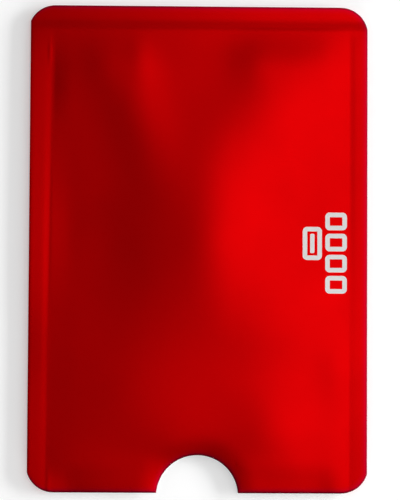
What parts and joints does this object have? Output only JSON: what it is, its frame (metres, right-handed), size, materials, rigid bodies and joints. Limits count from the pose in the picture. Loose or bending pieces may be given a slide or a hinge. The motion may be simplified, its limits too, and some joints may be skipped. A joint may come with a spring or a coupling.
{
  "type": "foil card holder",
  "caption": "Flat foil-laminate sleeve for one bank card, welded along three sides, open at the mouth with a round thumb notch.",
  "frame": {"origin": "middle of the sleeve's width and length, on the surface that it lies on", "axes": "the sleeve lies on its back: +Z out of the front wall, +Y along its length towards the shut end, with the mouth and its thumb notch towards -Y, +X to the right of someone who looks at the front with the mouth towards them"},
  "size_m": [0.0632, 0.091, 0.002],
  "materials": {
    "red_metallic_film": "satin red metallic film, softly creased",
    "bare_foil": "bare rolled aluminium foil, satin",
    "inner_lining": "matt pale sealing film over the foil",
    "heat_seal": "fused sealing film, slightly milky"
  },
  "bodies": {
    "root": {"front_colour_film": "red_metallic_film", "front_foil_shield": "bare_foil", "front_seal_film": "inner_lining", "back_colour_film": "red_metallic_film", "back_foil_shield": "bare_foil", "back_seal_film": "inner_lining", "left_heat_seal": "heat_seal", "right_heat_seal": "heat_seal", "shut_end_heat_seal": "heat_seal"}
  },
  "joints": []
}
